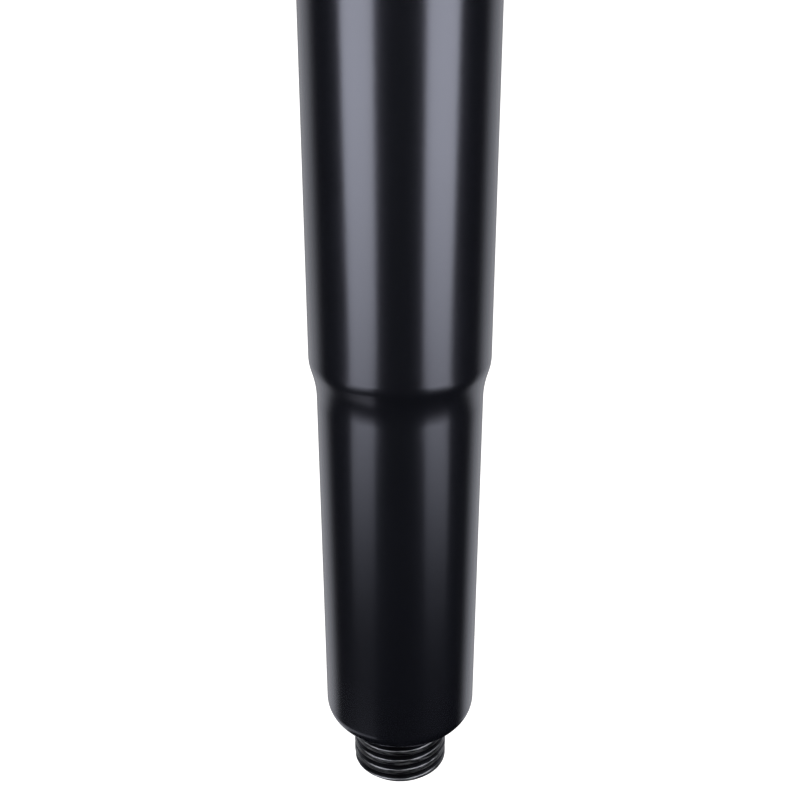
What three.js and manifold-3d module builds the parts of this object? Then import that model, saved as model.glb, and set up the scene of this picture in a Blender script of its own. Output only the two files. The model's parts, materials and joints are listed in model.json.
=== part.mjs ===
// A height-adjustable speaker pole, in millimetres, +Z up.
// A 35 mm steel tube is drawn down to a spigot, and its end is spun round onto a threaded stud.
// A thinner mast slides and turns inside it, on a split ring at its foot and a liner in the tube's mouth.
// A moulded collar holds the clamp screw, along +X, and the cam-action locking plunger, along -X.
// The origin is the centre of the stud's end face.
import * as THREE from "three";
import { mergeVertices } from "three/addons/utils/BufferGeometryUtils.js";
import Module from "manifold-3d";

const wasm = await Module();
wasm.setup();

// Fits, as the gap left on each side
const pressGap = 0.1;
const seatGap = 0.2;
const runningGap = 0.3;

// Lower tube and its swaged foot
const tubeRadius = 17.5;
const tubeWall = 1.5;
const spigotLength = 77;
const stepDepth = 1.4;
const stepHollowRadius = 4;
const stepCrownRadius = 10;
const spigotTaper = 0.25;
const spigotEndRound = 5.6;

// Threaded stud and the plug behind it
const studRadius = 10;
const studPitch = 2.5;
const studReach = 12.5;
const studChamfer = 1.3;
const plugLength = 34;
const plugChamfer = 1.5;

// Mast, its end plug and the ring that it slides on
const mastWall = 1.5;
const mastTravel = 500;
const mastOverlap = 95; // what stays in the lower tube at full height
const footClearance = 4;
const lockStep = 50;
const endPlugHeight = 18;
const endPlugSpigot = 30;
const endPlugFlange = 3;
const grooveDepth = 2;
const ringGap = 0.25;
const ringSplit = 3;
const endPlugPinRadius = 2;

// Head that fits a loudspeaker's socket
const headWall = 2.4;
const headLength = 95;
const headEdge = 1.2;
const headPinRadius = 2.5;
const headCapHeight = 4;
const headCapSpigot = 18;
const headCapRound = 3;

// Liner in the mouth of the lower tube
const linerLength = 30;
const linerWall = 0.6;
const linerFlange = 2;
const linerInset = 0.4;

// Collar
const collarWall = 5;
const collarGrip = 45;
const collarTop = 44;
const collarHeadRise = 1.5;
const collarHeadFoot = 6;
const collarBand = 6;
const collarEdge = 1.5;
const collarTopRound = 5;
const collarLead = 0.8;
const fluteRadius = 1.6;
const webThickness = 5;
const lockHeight = 22; // height of the clamp and plunger axis above the tube's end

// Collar screws
const screwHeight = -22;
const screwRadius = 2.5;
const screwHeadRadius = 4.5;
const screwHeadHeight = 2.8;
const screwSocket = 3;
const screwSocketDepth = 1.6;

// Clamp
const clampTravel = 2;
const clampBossRadius = 13;
const shoeRadius = 7.5;
const shoeThickness = 8;
const clampScrewRadius = 5;
const clampNoseRadius = 3;
const clampNoseLength = 4;
const insertWall = 3.3;
const insertLength = 11.4;
const insertFlange = 1.5;
const insertFlangeRise = 2;
const knobHubRadius = 10;
const knobHubLength = 6;
const knobRadius = 20;
const knobLobeRise = 3.5;
const knobThickness = 15;
const knobEdge = 2.5;
const knobScrewDepth = 14;
const knobCapRadius = 8;
const knobCapThickness = 1.6;

// Locking plunger
const plungerTravel = 7;
const plungerPinRadius = 3;
const plungerHoleGap = 0.4;
const plungerTipGap = 2;
const plungerTipChamfer = 0.8;
const plungerFront = 10;
const stemRadius = 1.7;
const springRoom = 6;
const springWire = 0.25;
const sleeveRadius = 7;
const sleeveNose = 3.5;
const sleeveRearWall = 3.1;
const plungerBossRadius = 11;
const sleeveHex = 17;
const sleeveHexHeight = 4;
const camNeck = 2;
const camRadius = 8;
const camWall = 3.5;
const gripRadius = 12;
const gripSkirtWall = 2;
const gripPlate = 3.2;
const gripFluteRadius = 2.2;
const gripEdge = 1.2;
const clipRadius = 3.2;
const clipGrooveDepth = 0.5;
const clipThickness = 1;
const clipRoomRadius = 5;
const clipRoomDepth = 4.2;
const gripCapRadius = 7;
const gripCapThickness = 1.6;

// Shares and counts
const stepSlopeDegrees = 18;
const threadDepthShare = 0.5;
const threadCrestShare = 0.3;
const threadRootShare = 0.2;
const camTurnDegrees = 90;
const camLobeDegrees = 40;
const camLeadDegrees = 3;
const hexagonSides = 6;
const knobLobes = 5;
const flutesPerQuarter = 3;
const gripFlutes = 10;
const springTurns = 5;
const spunRoundSteps = 6;
const plugRoundSteps = 4;
const bendSteps = 3;
const tubeFacets = 36;
const threadFacets = 32;
const boreFacets = 24;
const smallFacets = 12;

const mergeTolerance = 0.001;
const overrun = 1; // how far a cutting body runs past what it cuts

// Levels and radii that follow from the sizes above
const quarterTurn = Math.PI / 2;
const stepSlope = THREE.MathUtils.degToRad(stepSlopeDegrees);
const spigotRadius = tubeRadius - stepDepth;
const spigotEndRadius = spigotRadius - spigotTaper;
const studHoleRadius = studRadius + pressGap;
const endRound = Math.min(spigotEndRound, spigotEndRadius - studHoleRadius);
const endCentre = [spigotEndRadius - endRound, studReach + endRound];
const stepFoot = studReach + spigotLength;
const stepFill = (stepHollowRadius + stepCrownRadius) * (1 - Math.cos(stepSlope));
const stepArcShare = Math.min(1, stepDepth / stepFill);
const hollowRadius = stepHollowRadius * stepArcShare;
const crownRadius = stepCrownRadius * stepArcShare;
const stepConeHeight = (stepDepth - stepFill * stepArcShare) / Math.tan(stepSlope);
const stepTop = stepFoot + (hollowRadius + crownRadius) * Math.sin(stepSlope) + stepConeHeight;
const mastFoot = stepTop + footClearance + endPlugHeight;
const tubeTop = mastFoot + mastTravel + mastOverlap;
const mastTop = tubeTop + collarTop + runningGap + headLength;
const tubeBore = tubeRadius - tubeWall;
const guideBore = tubeBore - pressGap - linerWall;
const mastRadius = guideBore - runningGap;
const mastBore = mastRadius - mastWall;
const headRadius = mastRadius + pressGap + headWall;
const collarRadius = tubeRadius + collarWall;
const collarHeadRadius = collarRadius + collarHeadRise;
const collarSocket = tubeRadius + pressGap;
const collarStep = linerFlange + 2 * pressGap;
const shoeBack = guideBore + shoeThickness;
const insertRadius = clampScrewRadius + runningGap + insertWall;
const insertSeat = shoeBack + clampTravel + runningGap;
const clampBossReach = insertSeat + insertLength;
const insertTop = clampBossReach + pressGap + insertFlange;
const knobFoot = insertTop + runningGap;
const knobHeadFoot = knobFoot + knobHubLength;
const knobEnd = knobHeadFoot + knobThickness;
const plungerHole = plungerPinRadius + plungerHoleGap;
const plungerTip = mastRadius + plungerTipGap;
const plungerShoulder = plungerTip + plungerFront;
const springSeat = plungerShoulder + springRoom;
const sleeveSeat = guideBore + sleeveNose;
const camFoot = springSeat + sleeveRearWall;
const sleeveHexTop = camFoot - camNeck;
const plungerBossReach = sleeveHexTop - sleeveHexHeight - pressGap;
const camTop = camFoot + plungerTravel;
const gripFoot = sleeveHexTop + plungerTravel + runningGap;
const gripCeiling = camTop + plungerTravel + runningGap;
const gripPlateTop = gripCeiling + gripPlate;
const gripCapSeat = gripPlateTop + clipRoomDepth;
const gripEnd = gripCapSeat + gripCapThickness;
const clipFoot = gripPlateTop + runningGap;

const powderCoat = { color: 0x16171c, roughness: 0.3, metalness: 0.1 };
const wornSteel = { color: 0x3a3b3f, roughness: 0.4, metalness: 0.9 };
const brightSteel = { color: 0xa9abad, roughness: 0.35, metalness: 1 };
const brass = { color: 0xb3913f, roughness: 0.35, metalness: 1 };
const nylon = { color: 0x1b1b1d, roughness: 0.62, metalness: 0 };
const acetal = { color: 0xd9d7cf, roughness: 0.5, metalness: 0 };
const gripPlastic = { color: 0x141416, roughness: 0.5, metalness: 0 };

// A closed mesh as a solid that can be joined and cut
function solid(geometry) {
  const bare = geometry.index ? geometry.toNonIndexed() : geometry.clone();
  for (const name of Object.keys(bare.attributes)) {
    if (name !== "position") bare.deleteAttribute(name);
  }
  const merged = mergeVertices(bare, mergeTolerance);
  const corners = [];
  for (let i = 0; i < merged.index.count; i += 3) {
    const [a, b, c] = [0, 1, 2].map((k) => merged.index.getX(i + k));
    if (a !== b && b !== c && c !== a) corners.push(a, b, c);
  }
  return new wasm.Manifold(
    new wasm.Mesh({
      numProp: 3,
      vertProperties: new Float32Array(merged.attributes.position.array),
      triVerts: new Uint32Array(corners),
    }),
  );
}

// A finished solid as geometry
function geometryOf(body) {
  const { numProp, numVert, vertProperties, triVerts } = body.getMesh();
  const position = new Float32Array(numVert * 3);
  for (let i = 0; i < numVert; i++) {
    position.set(vertProperties.subarray(i * numProp, i * numProp + 3), i * 3);
  }
  const geometry = new THREE.BufferGeometry();
  geometry.setAttribute("position", new THREE.BufferAttribute(position, 3));
  geometry.setIndex(new THREE.BufferAttribute(new Uint32Array(triVerts), 1));
  return geometry;
}

function piece(name, body, finish) {
  const mesh = new THREE.Mesh(geometryOf(body), new THREE.MeshStandardMaterial(finish));
  mesh.name = name;
  return mesh;
}

function joined(bodies) {
  return bodies.reduce((whole, body) => whole.add(body));
}

function cut(body, cutters) {
  return cutters.reduce((rest, cutter) => rest.subtract(cutter), body);
}

// Points of an arc in the (radius, height) plane, with angles from the outward direction
function arc([centreRadius, centreHeight], radius, from, to, steps) {
  return Array.from({ length: steps + 1 }, (_, i) => {
    const angle = from + ((to - from) * i) / steps;
    return [centreRadius + radius * Math.cos(angle), centreHeight + radius * Math.sin(angle)];
  });
}

// A turned body about Z. The profile of (radius, height) points runs anticlockwise.
// It starts and ends on the axis, or else it is closed on itself here.
function turned(profile, facets) {
  const points = profile.map(([radius, height]) => new THREE.Vector2(radius, height));
  if (profile[0][0] > 0) points.push(points[0].clone());
  return solid(new THREE.LatheGeometry(points, facets).rotateX(quarterTurn));
}

function bar(radius, from, to, facets) {
  return turned([[0, from], [radius, from], [radius, to], [0, to]], facets);
}

function bush(inner, outer, from, to, facets) {
  return turned([[outer, from], [outer, to], [inner, to], [inner, from]], facets);
}

// A flat outline in (x, y), raised along Z between two heights
function raised(outline, from, to) {
  const shape = new THREE.Shape(outline.map(([x, y]) => new THREE.Vector2(x, y)));
  const geometry = new THREE.ExtrudeGeometry(shape, { depth: to - from, bevelEnabled: false });
  return solid(geometry.translate(0, 0, from));
}

function hexagon(acrossFlats) {
  const corner = acrossFlats / 2 / Math.cos(Math.PI / hexagonSides);
  return Array.from({ length: hexagonSides }, (_, i) => {
    const angle = (2 * Math.PI * i) / hexagonSides;
    return [corner * Math.cos(angle), corner * Math.sin(angle)];
  });
}

// A group whose own Z axis points straight out of the pole, at an azimuth and a height
function outward(azimuth, height, pieces) {
  const group = new THREE.Group();
  group.rotation.set(0, quarterTurn, azimuth, "ZYX");
  group.position.z = height;
  if (pieces.length) group.add(...pieces);
  group.updateMatrix();
  return group;
}

// A solid laid out in the same way, to join to or cut from an upright one
function laidOut(body, azimuth, height) {
  return solid(geometryOf(body).applyMatrix4(outward(azimuth, height, []).matrix));
}

// A round bar straight across the pole
function crossBar(radius, halfLength, azimuth, height) {
  return laidOut(bar(radius, -halfLength, halfLength, smallFacets), azimuth, height);
}

// A ring, or a sector of one, whose under and upper faces follow the heights at its stations
function sweptRing(inner, outer, stations, closed) {
  const points = stations.map(({ angle, low, high }) => {
    const [x, y] = [Math.cos(angle), Math.sin(angle)];
    const corners = [[inner, low], [outer, low], [outer, high], [inner, high]];
    return corners.map(([radius, height]) => [radius * x, radius * y, height]);
  });
  const faces = [];
  const quad = (a, b, c, d) => faces.push(a, b, c, a, c, d);
  const last = closed ? points.length : points.length - 1;
  for (let i = 0; i < last; i++) {
    const here = points[i];
    const next = points[(i + 1) % points.length];
    for (let k = 0; k < 4; k++) {
      const beside = (k + 1) % 4;
      quad(next[k], next[beside], here[beside], here[k]);
    }
  }
  if (!closed) {
    quad(...points[0]);
    quad(...points.at(-1).toReversed());
  }
  const geometry = new THREE.BufferGeometry();
  geometry.setAttribute("position", new THREE.Float32BufferAttribute(faces.flat(), 3));
  return solid(geometry);
}

// The line of the lower tube from the stud to its mouth, set in from its outer face.
// The end is spun round, and a cone between two radii leads from the spigot to the full tube.
function tubeLine(inset, endSteps, stepSteps) {
  const hollowCentre = [spigotRadius + hollowRadius, stepFoot];
  const crownCentre = [tubeRadius - crownRadius, stepTop];
  return [
    [studHoleRadius, studReach + inset],
    ...arc(endCentre, endRound - inset, -quarterTurn, 0, endSteps),
    ...arc(hollowCentre, hollowRadius + inset, Math.PI, Math.PI - stepSlope, stepSteps),
    ...arc(crownCentre, crownRadius - inset, -stepSlope, 0, stepSteps),
    [tubeRadius - inset, tubeTop],
  ];
}

function lowerTube() {
  const inside = tubeLine(tubeWall, plugRoundSteps, 1).reverse();
  const wall = turned([...tubeLine(0, spunRoundSteps, bendSteps), ...inside], tubeFacets);
  const hole = crossBar(screwRadius + pressGap, collarRadius, quarterTurn, tubeTop + screwHeight);
  return piece("lower_tube", cut(wall, [hole]), powderCoat);
}

// A rod with a right-hand thread on it, longer than it needs to be at both ends.
// Each column of points stands one facet further round and climbs by that share of the pitch,
// so the last column lies on the first, one whole turn of the thread higher.
function threadedRod(radius, pitch, from, turns) {
  const root = radius - threadDepthShare * pitch;
  const flank = (1 - threadCrestShare - threadRootShare) / 2;
  const turnShares = [0, threadRootShare, threadRootShare + flank, 1 - flank];
  const radii = [root, root, radius, radius];
  const rows = turns * radii.length;
  const point = (column, row) => {
    const angle = (2 * Math.PI * (column % threadFacets)) / threadFacets;
    const corner = row % radii.length;
    const turn = Math.floor(row / radii.length) + turnShares[corner] + column / threadFacets;
    return [radii[corner] * Math.cos(angle), radii[corner] * Math.sin(angle), from + pitch * turn];
  };
  const foot = [0, 0, from - pitch];
  const head = [0, 0, from + pitch * (turns + 2)];
  const faces = [];
  for (let column = 0; column < threadFacets; column++) {
    for (let row = 0; row < rows - 1; row++) {
      const [a, b] = [point(column, row), point(column + 1, row)];
      const [c, d] = [point(column + 1, row + 1), point(column, row + 1)];
      faces.push(a, b, c, a, c, d);
    }
    faces.push(foot, point(column + 1, 0), point(column, 0));
    faces.push(head, point(column, rows - 1), point(column + 1, rows - 1));
  }
  for (let step = 0; step < radii.length; step++) {
    const row = rows - 1 - radii.length + step;
    faces.push(foot, point(0, step), point(0, step + 1));
    faces.push(head, point(threadFacets, row + 1), point(threadFacets, row));
  }
  const geometry = new THREE.BufferGeometry();
  geometry.setAttribute("position", new THREE.Float32BufferAttribute(faces.flat(), 3));
  return solid(geometry);
}

// The stud is threaded up to the tube's end, and its plug lies on the spun end from inside
function threadedStud() {
  const shankFoot = studReach + tubeWall / 2;
  const outside = studRadius + overrun;
  const blank = turned([
    [0, 0],
    [studRadius - studChamfer, 0],
    [outside, studChamfer + overrun],
    [outside, shankFoot],
    [0, shankFoot],
  ], threadFacets);
  const turns = Math.ceil(shankFoot / studPitch) + 3;
  const thread = threadedRod(studRadius, studPitch, -2 * studPitch, turns).intersect(blank);
  const plugRadius = spigotEndRadius - tubeWall - pressGap;
  const plugTop = studReach + plugLength;
  const plug = turned([
    [0, studReach],
    [studRadius, studReach],
    [studRadius, studReach + tubeWall + pressGap],
    ...arc(endCentre, endRound - tubeWall - pressGap, -quarterTurn, 0, plugRoundSteps),
    [plugRadius, plugTop - plugChamfer],
    [plugRadius - plugChamfer, plugTop],
    [0, plugTop],
  ], threadFacets);
  return piece("threaded_stud", thread.add(plug), wornSteel);
}

function guideLiner() {
  const outer = tubeBore - pressGap;
  const flangeRadius = tubeRadius - linerInset;
  const profile = [
    [guideBore, -linerLength],
    [outer, -linerLength],
    [outer, pressGap],
    [flangeRadius, pressGap],
    [flangeRadius, pressGap + linerFlange],
    [guideBore, pressGap + linerFlange],
  ];
  return piece("guide_liner", turned(profile, tubeFacets), acetal);
}

function boss(radius, reach) {
  return turned([
    [0, guideBore],
    [radius + collarEdge, guideBore],
    [radius, reach - collarEdge],
    [radius - collarEdge, reach],
    [0, reach],
  ], boreFacets);
}

// A web below a boss, from the collar's grip up to the boss
function web(reach, azimuth) {
  const outline = [
    [collarSocket + collarEdge, -collarGrip + 2 * collarBand],
    [collarRadius, -collarGrip + 2 * collarBand],
    [reach - 2 * collarEdge, lockHeight],
    [collarSocket + collarEdge, lockHeight],
  ];
  const shape = new THREE.Shape(outline.map(([x, y]) => new THREE.Vector2(x, y)));
  const geometry = new THREE.ExtrudeGeometry(shape, { depth: webThickness, bevelEnabled: false });
  geometry.rotateX(quarterTurn).translate(0, webThickness / 2, 0).rotateZ(azimuth);
  return solid(geometry);
}

// Upright grooves round the grip, left out where the webs and the screws are
function flutes() {
  const from = -collarGrip + collarBand + 2 * collarEdge;
  const to = collarHeadFoot - 2 * collarEdge;
  const pitch = quarterTurn / (flutesPerQuarter + 2);
  const groove = bar(fluteRadius, from, to, smallFacets / 2);
  const cutters = [];
  for (let quarter = 0; quarter < 4; quarter++) {
    for (let i = 0; i < flutesPerQuarter; i++) {
      const angle = quarter * quarterTurn + (i + 1.5) * pitch;
      const geometry = geometryOf(groove).translate(collarRadius + fluteRadius / 2, 0, 0);
      cutters.push(solid(geometry.rotateZ(angle)));
    }
  }
  return cutters;
}

function clampCollar() {
  const foot = -collarGrip;
  const roundCentre = [collarHeadRadius - collarTopRound, collarTop - collarTopRound];
  const shell = turned([
    [collarSocket + collarLead, foot],
    [collarHeadRadius - collarEdge, foot],
    [collarHeadRadius, foot + collarEdge],
    [collarHeadRadius, foot + collarBand],
    [collarRadius, foot + collarBand + collarEdge],
    [collarRadius, collarHeadFoot - collarEdge],
    [collarHeadRadius, collarHeadFoot],
    ...arc(roundCentre, collarTopRound, 0, quarterTurn, 4),
    [guideBore + collarLead, collarTop],
    [guideBore, collarTop - collarLead],
    [guideBore, collarStep],
    [collarSocket, collarStep],
    [collarSocket, foot + collarLead],
  ], tubeFacets);
  const whole = joined([
    shell,
    laidOut(boss(clampBossRadius, clampBossReach), 0, lockHeight),
    laidOut(boss(plungerBossRadius, plungerBossReach), Math.PI, lockHeight),
    web(clampBossReach, 0),
    web(plungerBossReach, Math.PI),
  ]);
  const headSeat = collarRadius - screwHeadHeight;
  const headHole = bar(screwHeadRadius + seatGap, headSeat, collarRadius + overrun, boreFacets);
  const cutters = [
    bar(shoeRadius + seatGap, 0, insertSeat, boreFacets),
    bar(insertRadius + pressGap, insertSeat, clampBossReach + overrun, boreFacets),
  ].map((tool) => laidOut(tool, 0, lockHeight));
  cutters.push(
    laidOut(bar(plungerHole, 0, sleeveSeat + overrun, boreFacets), Math.PI, lockHeight),
    laidOut(
      bar(sleeveRadius + pressGap, sleeveSeat, plungerBossReach + overrun, boreFacets),
      Math.PI,
      lockHeight,
    ),
    crossBar(screwRadius + pressGap, collarRadius, quarterTurn, screwHeight),
    laidOut(headHole, quarterTurn, screwHeight),
    laidOut(headHole, -quarterTurn, screwHeight),
    ...flutes(),
  );
  return piece("clamp_collar", cut(whole, cutters), nylon);
}

// A button-head screw through the collar and the tube's wall
function collarScrew(name) {
  const tip = tubeBore + runningGap;
  const headFoot = collarRadius - screwHeadHeight + seatGap;
  const headTop = collarRadius;
  const blank = turned([
    [0, tip],
    [screwRadius, tip],
    [screwRadius, headFoot],
    [screwHeadRadius, headFoot],
    [screwHeadRadius, headTop - screwSocketDepth],
    [screwHeadRadius - screwSocketDepth / 2, headTop],
    [0, headTop],
  ], boreFacets);
  const socket = raised(hexagon(screwSocket), headTop - screwSocketDepth, headTop + overrun);
  return piece(name, blank.subtract(socket), wornSteel);
}

function clampInsert() {
  const bore = clampScrewRadius + runningGap;
  const flangeFoot = clampBossReach + pressGap;
  const profile = [
    [bore, insertSeat + pressGap],
    [insertRadius, insertSeat + pressGap],
    [insertRadius, flangeFoot],
    [insertRadius + insertFlangeRise, flangeFoot],
    [insertRadius + insertFlangeRise, insertTop],
    [bore, insertTop],
  ];
  return piece("clamp_insert", turned(profile, boreFacets), brass);
}

// The shoe's face is hollowed to the mast, and its back takes the nose of the screw
function clampShoe() {
  const blank = bar(shoeRadius, 0, shoeBack, boreFacets);
  const mast = bar(guideBore, -2 * shoeRadius, 2 * shoeRadius, 2 * tubeFacets);
  const mastSide = solid(geometryOf(mast).rotateY(quarterTurn));
  const noseHole = bar(
    clampNoseRadius + runningGap,
    shoeBack - clampNoseLength - runningGap,
    shoeBack + overrun,
    smallFacets,
  );
  return piece("clamp_shoe", cut(blank, [mastSide, noseHole]), acetal);
}

function clampScrew() {
  const noseFoot = shoeBack - clampNoseLength;
  const shankFoot = shoeBack + seatGap;
  const end = knobFoot + knobScrewDepth - seatGap;
  const profile = [
    [0, noseFoot],
    [clampNoseRadius, noseFoot],
    [clampNoseRadius, shankFoot],
    [clampScrewRadius, shankFoot],
    [clampScrewRadius, end],
    [0, end],
  ];
  return piece("clamp_screw", turned(profile, boreFacets), brightSteel);
}

// A knob with rounded lobes on a round hub
function clampKnob() {
  const sides = 10 * knobLobes;
  const outline = Array.from({ length: sides }, (_, i) => {
    const angle = (2 * Math.PI * i) / sides;
    const radius = knobRadius - knobEdge + knobLobeRise * Math.cos(knobLobes * angle);
    return new THREE.Vector2(radius * Math.cos(angle), radius * Math.sin(angle));
  });
  const head = new THREE.ExtrudeGeometry(new THREE.Shape(outline), {
    depth: knobThickness - 2 * knobEdge,
    bevelThickness: knobEdge,
    bevelSize: knobEdge,
    bevelSegments: 2,
  });
  head.translate(0, 0, knobHeadFoot + knobEdge);
  const hub = bar(knobHubRadius, knobFoot, knobHeadFoot + knobEdge, boreFacets);
  const screwHole = bar(clampScrewRadius + pressGap, 0, knobFoot + knobScrewDepth, boreFacets);
  const capSeat = bar(knobCapRadius + seatGap, knobEnd - knobCapThickness, knobEnd + overrun, boreFacets);
  return piece("clamp_knob", cut(joined([solid(head), hub]), [screwHole, capSeat]), gripPlastic);
}

function knobCap() {
  const foot = knobEnd - knobCapThickness + seatGap;
  return piece("clamp_knob_cap", bar(knobCapRadius, foot, knobEnd, boreFacets), brightSteel);
}

// The cam face falls by the plunger's travel over the cam's turn, twice round the sleeve
function camStations() {
  const fall = THREE.MathUtils.degToRad(camTurnDegrees);
  const flank = THREE.MathUtils.degToRad(camLeadDegrees) / 2;
  const steps = 8;
  const stations = [];
  for (const start of [0, Math.PI]) {
    for (let i = 0; i <= steps; i++) {
      const share = i / steps;
      stations.push({ angle: start + share * fall, high: camTop - share * plungerTravel });
    }
    for (const angle of arcAngles(start + fall + flank, start + Math.PI, steps)) {
      stations.push({ angle, high: camTop });
    }
  }
  return stations.map((station) => ({ ...station, low: camFoot - camNeck / 2 }));
}

// Angles from one to just short of another
function arcAngles(from, to, steps) {
  return Array.from({ length: steps }, (_, i) => from + ((to - from) * i) / steps);
}

function plungerSleeve() {
  const bore = plungerPinRadius + seatGap;
  const nose = sleeveSeat + pressGap;
  const body = joined([
    bush(bore, sleeveRadius, nose, plungerBossReach + sleeveHexHeight / 2, boreFacets),
    raised(hexagon(sleeveHex), plungerBossReach + pressGap, sleeveHexTop),
    bar(camRadius, sleeveHexTop - camNeck / 2, camFoot, boreFacets),
    sweptRing(camRadius - camWall, camRadius, camStations(), true),
  ]);
  const cutters = [
    bar(bore, 0, springSeat, boreFacets),
    bar(stemRadius + seatGap, 0, camTop + overrun, smallFacets),
  ];
  return piece("plunger_sleeve", cut(body, cutters), brightSteel);
}

function plungerPin() {
  const neck = stemRadius - clipGrooveDepth;
  const grooveFoot = clipFoot - pressGap;
  const grooveTop = clipFoot + clipThickness + pressGap;
  const end = grooveTop + clipThickness;
  const profile = [
    [0, plungerTip],
    [plungerPinRadius - plungerTipChamfer, plungerTip],
    [plungerPinRadius, plungerTip + plungerTipChamfer],
    [plungerPinRadius, plungerShoulder],
    [stemRadius, plungerShoulder],
    [stemRadius, grooveFoot],
    [neck, grooveFoot],
    [neck, grooveTop],
    [stemRadius, grooveTop],
    [stemRadius, end],
    [0, end],
  ];
  return piece("plunger_pin", turned(profile, smallFacets), brightSteel);
}

// The spring's wire runs round the stem, from the pin's shoulder to the end of the sleeve's bore
class Coil extends THREE.Curve {
  constructor(radius, from, to) {
    super();
    Object.assign(this, { radius, from, to });
  }

  getPoint(share, target = new THREE.Vector3()) {
    const angle = 2 * Math.PI * springTurns * share;
    const height = this.from + (this.to - this.from) * share;
    return target.set(this.radius * Math.cos(angle), this.radius * Math.sin(angle), height);
  }
}

function plungerSpring() {
  const radius = (plungerPinRadius + seatGap + stemRadius) / 2;
  const endGap = springWire + seatGap;
  const path = new Coil(radius, plungerShoulder + endGap, springSeat - endGap);
  const sides = 5;
  const outline = Array.from({ length: sides }, (_, i) => {
    const angle = (2 * Math.PI * i) / sides;
    return new THREE.Vector2(springWire * Math.cos(angle), springWire * Math.sin(angle));
  });
  const section = new THREE.Shape(outline);
  const geometry = new THREE.ExtrudeGeometry(section, { steps: 8 * springTurns, extrudePath: path });
  return piece("plunger_spring", solid(geometry), brightSteel);
}

// The grip's two lobes hang from its ceiling onto the cam, with the cam's own slope beneath them
function camLobes() {
  const lead = THREE.MathUtils.degToRad(camLeadDegrees);
  const width = THREE.MathUtils.degToRad(camLobeDegrees);
  const slope = plungerTravel / THREE.MathUtils.degToRad(camTurnDegrees);
  const steps = 4;
  return [0, Math.PI].map((start) => {
    const stations = Array.from({ length: steps + 1 }, (_, i) => {
      const back = lead + width * (1 - i / steps);
      return {
        angle: start - back,
        low: camTop + runningGap + slope * back,
        high: gripCeiling + gripPlate / 2,
      };
    });
    return sweptRing(camRadius - camWall, camRadius + runningGap + gripSkirtWall / 2, stations, false);
  });
}

function plungerGrip() {
  const skirtBore = camRadius + runningGap;
  const skirtRadius = skirtBore + gripSkirtWall;
  const shell = turned([
    [skirtBore, gripFoot],
    [skirtRadius, gripFoot],
    [skirtRadius, gripCeiling - gripEdge],
    [gripRadius, gripCeiling],
    [gripRadius, gripEnd - gripEdge],
    [gripRadius - gripEdge, gripEnd],
    [gripCapRadius + seatGap, gripEnd],
    [gripCapRadius + seatGap, gripCapSeat],
    [clipRoomRadius, gripCapSeat],
    [clipRoomRadius, gripPlateTop],
    [stemRadius + seatGap, gripPlateTop],
    [stemRadius + seatGap, gripCeiling],
    [skirtBore, gripCeiling],
  ], boreFacets);
  const groove = bar(gripFluteRadius, gripFoot, gripEnd + overrun, smallFacets / 2);
  const grooves = Array.from({ length: gripFlutes }, (_, i) => {
    const geometry = geometryOf(groove).translate(gripRadius + gripFluteRadius / 2, 0, 0);
    return solid(geometry.rotateZ((2 * Math.PI * i) / gripFlutes));
  });
  return piece("plunger_grip", cut(joined([shell, ...camLobes()]), grooves), gripPlastic);
}

// A snap ring in the pin's groove, open on one side
function plungerClip() {
  const neck = stemRadius - clipGrooveDepth;
  const ring = bush(neck + pressGap, clipRadius, clipFoot, clipFoot + clipThickness, smallFacets);
  const mouth = raised(
    [[0, -neck], [clipRadius + overrun, -neck], [clipRadius + overrun, neck], [0, neck]],
    clipFoot - overrun,
    clipFoot + clipThickness + overrun,
  );
  return piece("plunger_clip", ring.subtract(mouth), brightSteel);
}

function gripCap() {
  const foot = gripCapSeat + seatGap;
  return piece("plunger_grip_cap", bar(gripCapRadius, foot, gripEnd, boreFacets), gripPlastic);
}

// The mast is drilled across at each locking step. Heights are from its foot.
function mastTube() {
  const height = mastTop - mastFoot;
  const firstHole = tubeTop + lockHeight - mastFoot;
  const holes = Math.floor(mastTravel / lockStep) + 1;
  const drills = Array.from({ length: holes }, (_, i) =>
    crossBar(plungerHole, headRadius, 0, firstHole - i * lockStep),
  );
  drills.push(
    crossBar(endPlugPinRadius + pressGap, headRadius, quarterTurn, endPlugSpigot / 2),
    crossBar(headPinRadius + pressGap, headRadius, quarterTurn, height - headLength / 2),
  );
  return piece("mast_tube", cut(bush(mastBore, mastRadius, 0, height, tubeFacets), drills), powderCoat);
}

// A moulded plug in the mast's foot, with a groove that the sliding ring turns in
function mastEndPlug() {
  const grooveRadius = mastRadius - grooveDepth;
  const grooveFoot = -endPlugHeight + endPlugFlange;
  const grooveTop = -endPlugFlange;
  const plug = turned([
    [0, -endPlugHeight],
    [mastRadius - endPlugFlange / 2, -endPlugHeight],
    [mastRadius, -endPlugHeight + endPlugFlange / 2],
    [mastRadius, grooveFoot],
    [grooveRadius, grooveFoot],
    [grooveRadius, grooveTop],
    [mastRadius, grooveTop],
    [mastRadius, -pressGap],
    [mastBore - pressGap, -pressGap],
    [mastBore - pressGap, endPlugSpigot],
    [0, endPlugSpigot],
  ], tubeFacets);
  const pinHole = crossBar(endPlugPinRadius + pressGap, headRadius, quarterTurn, endPlugSpigot / 2);
  return piece("mast_end_plug", plug.subtract(pinHole), nylon);
}

function glideRing() {
  const inner = mastRadius - grooveDepth + runningGap;
  const outer = tubeBore - ringGap;
  const from = -endPlugHeight + endPlugFlange + runningGap;
  const to = -endPlugFlange - runningGap;
  const split = raised(
    [[0, -ringSplit / 2], [tubeRadius, -ringSplit / 2], [tubeRadius, ringSplit / 2], [0, ringSplit / 2]],
    from - overrun,
    to + overrun,
  );
  const ring = bush(inner, outer, from, to, tubeFacets).subtract(split);
  return piece("glide_ring", ring, acetal);
}

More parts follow.
